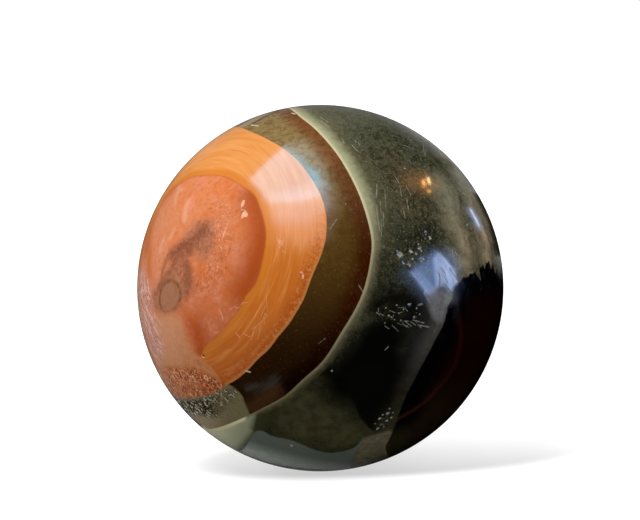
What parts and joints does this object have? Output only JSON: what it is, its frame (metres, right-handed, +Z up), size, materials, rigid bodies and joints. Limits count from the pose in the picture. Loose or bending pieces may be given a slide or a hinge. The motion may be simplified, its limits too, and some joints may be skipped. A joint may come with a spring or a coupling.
{
  "type": "jasper sphere",
  "caption": "Solid polished ball of banded jasper, a single piece of stone with small open pits in the polish: a desk ornament that sits in a ring or a cup stand.",
  "frame": {"origin": "centre of the ball", "axes": "+Z up, -Y the front: the banded orange eye shows on the left of the front (-X) and the dark eye on its right (+X)"},
  "size_m": [0.07, 0.07, 0.07],
  "materials": {
    "jasper": "polished, banded in salmon, ochre, brown, pale green and near black"
  },
  "bodies": {
    "root": {"ball": "jasper"}
  },
  "joints": []
}
